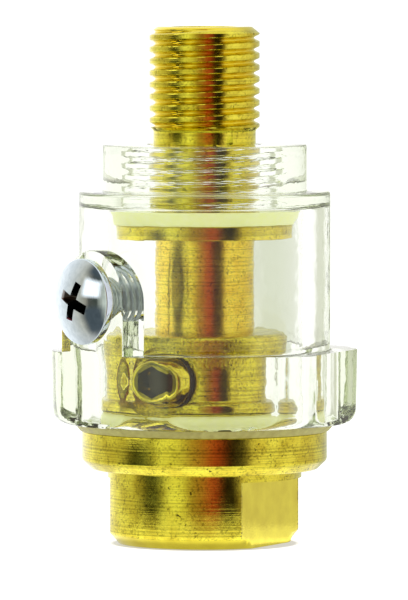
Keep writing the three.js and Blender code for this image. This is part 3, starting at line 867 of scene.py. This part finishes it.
def seals():
    """The five rings. Round ones get mean radius, section radius and height, flat ones their corners."""
    seal_ring("base_seal_nylon", 10.35, 0.95, 15.05, "fitting", "base_seal", MAT_NYLON_PAINTED_LIT)
    seal_ring("metering_seal_rubber", 2.7, 0.33, 9.12, "meter_ring", "metering_seal", MAT_RUBBER,
              METER_PLACE, SEAL_COLUMNS)
    flat_ring("bowl_gasket_nylon", [
        (6.9, DISC_HIGH, 0.1), (10.8, DISC_HIGH, 0.15), (11.35, 40.1, 0.2), (6.9, 40.1, 0.1),
    ], "gasket_ring", "bowl_gasket", MAT_NYLON_PAINTED_LIT)
    flat_ring("foot_gasket_nylon", [
        (11.8, FLANGE_TOP, 0.1), (14.9, FLANGE_TOP, 0.15), (15.7, BOWL_FOOT, 0.15), (11.8, BOWL_FOOT, 0.1),
    ], "fitting", "foot_gasket", MAT_NYLON_SHADED)
    flat_ring("filler_washer_nylon", [
        (2.5, 17.0, 0.05), (4.2, 17.0, 0.2), (4.2, FILLER_SEAT, 0.2), (2.5, FILLER_SEAT, 0.05),
    ], "filler_ring", "filler_washer", MAT_NYLON_SHADED, FILLER_PLACE, SEAL_COLUMNS)


def carried_nodes():
    """The hidden CAD pieces keep their shape and get a finished material."""
    for node, material in (("throat_insert", MAT_BASE), ("stem_seal", MAT_RUBBER)):
        piece = frame["nodes"][node]
        piece.data.materials.clear()
        piece.data.materials.append(material)


# ---------------------------------------------------------------- camera, light and floor

VIEW_HEIGHT = 72.0             # mm from the view's bottom to its top, at the air passage's axis
AXIS_OFFSET = 0.06             # mm by which that axis lies right of the view's middle
CAMERA_DISTANCE = 900.0
CAMERA_HEIGHT = 78.0
AIM_HEIGHT = 29.2
SENSOR = 36.0


def camera():
    """Looks at the object a little from above, from far away."""
    data = bpy.data.cameras.new("camera")
    cam = bpy.data.objects.new("camera", data)
    bpy.context.scene.collection.objects.link(cam)
    place = Vector((0, -CAMERA_DISTANCE, CAMERA_HEIGHT)) * MM
    aim = Vector((0, 0, AIM_HEIGHT)) * MM
    cam.location = place
    cam.rotation_euler = (aim - place).to_track_quat("-Z", "Y").to_euler()
    data.sensor_width = SENSOR
    data.lens = SENSOR * (aim - place).length / MM / VIEW_HEIGHT
    data.shift_x = -AXIS_OFFSET / VIEW_HEIGHT
    data.clip_start = 0.01
    data.clip_end = 20
    bpy.context.scene.camera = cam


# Studio brightness around the object: degrees from the camera's side towards +X, then a colour.
STUDIO = [
    (-180, (1.3, 1.3, 1.3)), (-145, (1.3, 1.3, 1.3)), (-122, (0.98, 0.98, 0.95)),
    (-100, (0.74, 0.71, 0.62)), (-88, (0.6, 0.56, 0.45)), (-78, (0.38, 0.34, 0.26)),
    (-72, (0.1, 0.1, 0.08)), (-60, (0.08, 0.09, 0.07)), (-54, (0.42, 0.43, 0.35)),
    (-46, (0.84, 0.86, 0.72)), (-34, (0.98, 1.02, 0.8)), (-24, (0.72, 0.7, 0.48)),
    (-13, (0.46, 0.32, 0.2)), (-2, (0.42, 0.19, 0.12)), (6, (0.46, 0.09, 0.09)),
    (14, (0.36, 0.06, 0.07)), (20, (0.12, 0.035, 0.05)), (25, (0.025, 0.02, 0.03)),
    (37, (0.025, 0.02, 0.03)), (43, (0.38, 0.31, 0.25)), (50, (0.98, 0.92, 0.92)),
    (64, (1.0, 0.98, 1.02)), (90, (0.9, 0.84, 0.84)), (120, (0.8, 0.75, 0.72)),
    (145, (0.72, 0.73, 0.64)), (172, (0.7, 0.73, 0.58)), (178, (1.0, 1.0, 0.92)),
    (180, (1.3, 1.3, 1.3)),
]

# Sectors are (from, to, softness) in degrees. Rises are the same for the upward part of a direction.
PANEL_SECTOR = (-86, -50, 7)
PANEL_RISES = ((-0.6, -0.13, 0.06), (0.44, 0.8, 0.06))
SOFTBOX_SECTOR = (-85, -56, 4)
SOFTBOX_RISE = (0.07, 0.38, 0.04)
BACKDROP_SECTOR = (88, 150, 4)
BACKDROP_FROM, BACKDROP_FULL = -60, -85      # degrees over which the backdrop takes over at the left
HORIZON_RISE = (-0.22, 0.12, 0.03)
TOP_LIGHT = (1.1, 1.1, 1.1, 1)
FLOOR_LIGHT = (0.7, 0.7, 0.7, 1)
DARK_PANEL = (0.09, 0.11, 0.12, 1)
SOFTBOX = (1.7, 1.7, 1.7, 1)
PALE_FRONT = (0.86, 0.88, 0.82, 1)
BACKDROP = (1.2, 1.2, 1.2, 1)


def window(tree, value, low, high, soft):
    """1 between low and high, falling to 0 over a soft edge on each side."""
    up = spread(tree, value, low - soft, low + soft)
    down = spread(tree, value, high + soft, high - soft)
    return calc(tree, "MULTIPLY", up, down)


def sector(tree, azimuth, low, high, soft):
    """A window on the azimuth, in degrees."""
    return window(tree, azimuth, *(math.radians(angle) for angle in (low, high, soft)))


def studio_light():
    """Colours around the horizon, pale above and below, with dark panels and a softbox for the chrome."""
    world = bpy.data.worlds.new("studio")
    bpy.context.scene.world = world
    world.use_nodes = True
    tree = world.node_tree
    direction = add(tree, "ShaderNodeTexCoord").outputs["Generated"]
    parts = add(tree, "ShaderNodeSeparateXYZ", {"Vector": direction})
    rise = parts.outputs["Z"]
    towards = calc(tree, "MULTIPLY", parts.outputs["Y"], -1.0)
    azimuth = calc(tree, "ARCTAN2", parts.outputs["X"], towards)
    share = spread(tree, azimuth, -math.pi, math.pi)
    light = ramp(tree, share, [((angle + 180) / 360, colour) for angle, colour in STUDIO])
    upwards = spread(tree, rise, 0.5, 0.9, interpolation_type="SMOOTHSTEP")
    downwards = spread(tree, rise, -0.4, -0.85, interpolation_type="SMOOTHSTEP")
    light = mix_colour(tree, upwards, light, TOP_LIGHT)
    light = mix_colour(tree, downwards, light, FLOOR_LIGHT)
    low_panel, high_panel = (window(tree, rise, *limits) for limits in PANEL_RISES)
    panels = calc(tree, "MULTIPLY", sector(tree, azimuth, *PANEL_SECTOR),
                  calc(tree, "ADD", low_panel, high_panel))
    light = mix_colour(tree, panels, light, DARK_PANEL)
    softbox = calc(tree, "MULTIPLY", sector(tree, azimuth, *SOFTBOX_SECTOR),
                   window(tree, rise, *SOFTBOX_RISE))
    light = mix_colour(tree, softbox, light, SOFTBOX)
    pale_front, backdrop = seen_through_plastic(tree, azimuth, towards, rise)
    light = mix_colour(tree, pale_front, light, PALE_FRONT)
    light = mix_colour(tree, backdrop, light, BACKDROP)
    tree.links.new(light, tree.nodes["Background"].inputs["Color"])
    tree.nodes["Background"].inputs["Strength"].default_value = 1.0


def seen_through_plastic(tree, azimuth, towards, rise):
    """Shares of a pale front and of the white backdrop, which replace the studio's colours.

    The backdrop is what is seen straight, and at the sides through clear plastic. The pale front is
    what plastic reflects within itself. Light that has left brass keeps the studio's colours."""
    path = add(tree, "ShaderNodeLightPath").outputs
    # Depths are whole numbers, so each limit is half way between the last that counts and the next.
    unreflected = calc(tree, "LESS_THAN", path["Glossy Depth"], 0.5)
    one_wall = calc(tree, "LESS_THAN", path["Transmission Depth"], 3.5)
    no_brass = calc(tree, "MAXIMUM", unreflected, one_wall)
    through = calc(tree, "MULTIPLY", path["Is Transmission Ray"], no_brass)
    near_horizon = window(tree, rise, *HORIZON_RISE)
    one_bounce = calc(tree, "MULTIPLY", window(tree, path["Glossy Depth"], 1.0, 1.0, 0.5), near_horizon)
    from_front = calc(tree, "MULTIPLY", through, spread(tree, towards, -0.2, 0.1))
    pale_front = calc(tree, "SUBTRACT", from_front, one_bounce, use_clamp=True)
    on_left = spread(tree, azimuth, math.radians(BACKDROP_FROM), math.radians(BACKDROP_FULL))
    left = calc(tree, "MULTIPLY", path["Is Transmission Ray"], on_left)
    right = calc(tree, "MULTIPLY", through, sector(tree, azimuth, *BACKDROP_SECTOR))
    backdrop = calc(tree, "MAXIMUM", path["Is Camera Ray"], calc(tree, "MAXIMUM", left, right))
    return pale_front, backdrop


FLOOR_RADIUS = 32
FLOOR_DROP = 0.05              # keeps the floor clear of the object's foot
FLOOR_GLOW = [(10.9, 0.45), (11.75, 1.2), (15.5, 1.2), (17.5, 0.8)]    # radius in mm, brightness: dim under the object as a painted contact shadow, bright in a ring around it


def floor():
    """A plain white disc, lit by itself enough to stay pale, and dimmer under the object as a painted
    contact shadow.
    """
    bm = bmesh.new()
    bmesh.ops.create_circle(bm, cap_ends=True, segments=96, radius=FLOOR_RADIUS * MM)
    mesh = bpy.data.meshes.new("floor")
    bm.to_mesh(mesh)
    bm.free()
    disc = bpy.data.objects.new("floor", mesh)
    disc.location = (0, 0, -FLOOR_DROP * MM)
    bpy.context.scene.collection.objects.link(disc)
    material, tree, shader = new_material("floor")
    shader.inputs["Base Color"].default_value = (0.4, 0.4, 0.4, 1)
    shader.inputs["Roughness"].default_value = 0.8
    shader.inputs["Specular IOR Level"].default_value = 0.1
    _, radius, _ = lathe_space(tree)
    # Painted contact shadow: the floor's glow is dimmer under the object.
    share = spread(tree, radius, 0, FLOOR_RADIUS)
    glow = ramp(tree, share, [(r / FLOOR_RADIUS, (g, g, g)) for r, g in FLOOR_GLOW])
    tree.links.new(glow, shader.inputs["Emission Color"])
    shader.inputs["Emission Strength"].default_value = 1
    mesh.materials.append(material)


bpy.context.scene.view_settings.view_transform = "Standard"
bpy.context.scene.cycles.max_bounces = 32
bpy.context.scene.cycles.glossy_bounces = 16
bpy.context.scene.cycles.transmission_bounces = 24
camera()
studio_light()
floor()
stem()
base_fitting()
bowl()
metering_screw()
filler_screw()
seals()
carried_nodes()
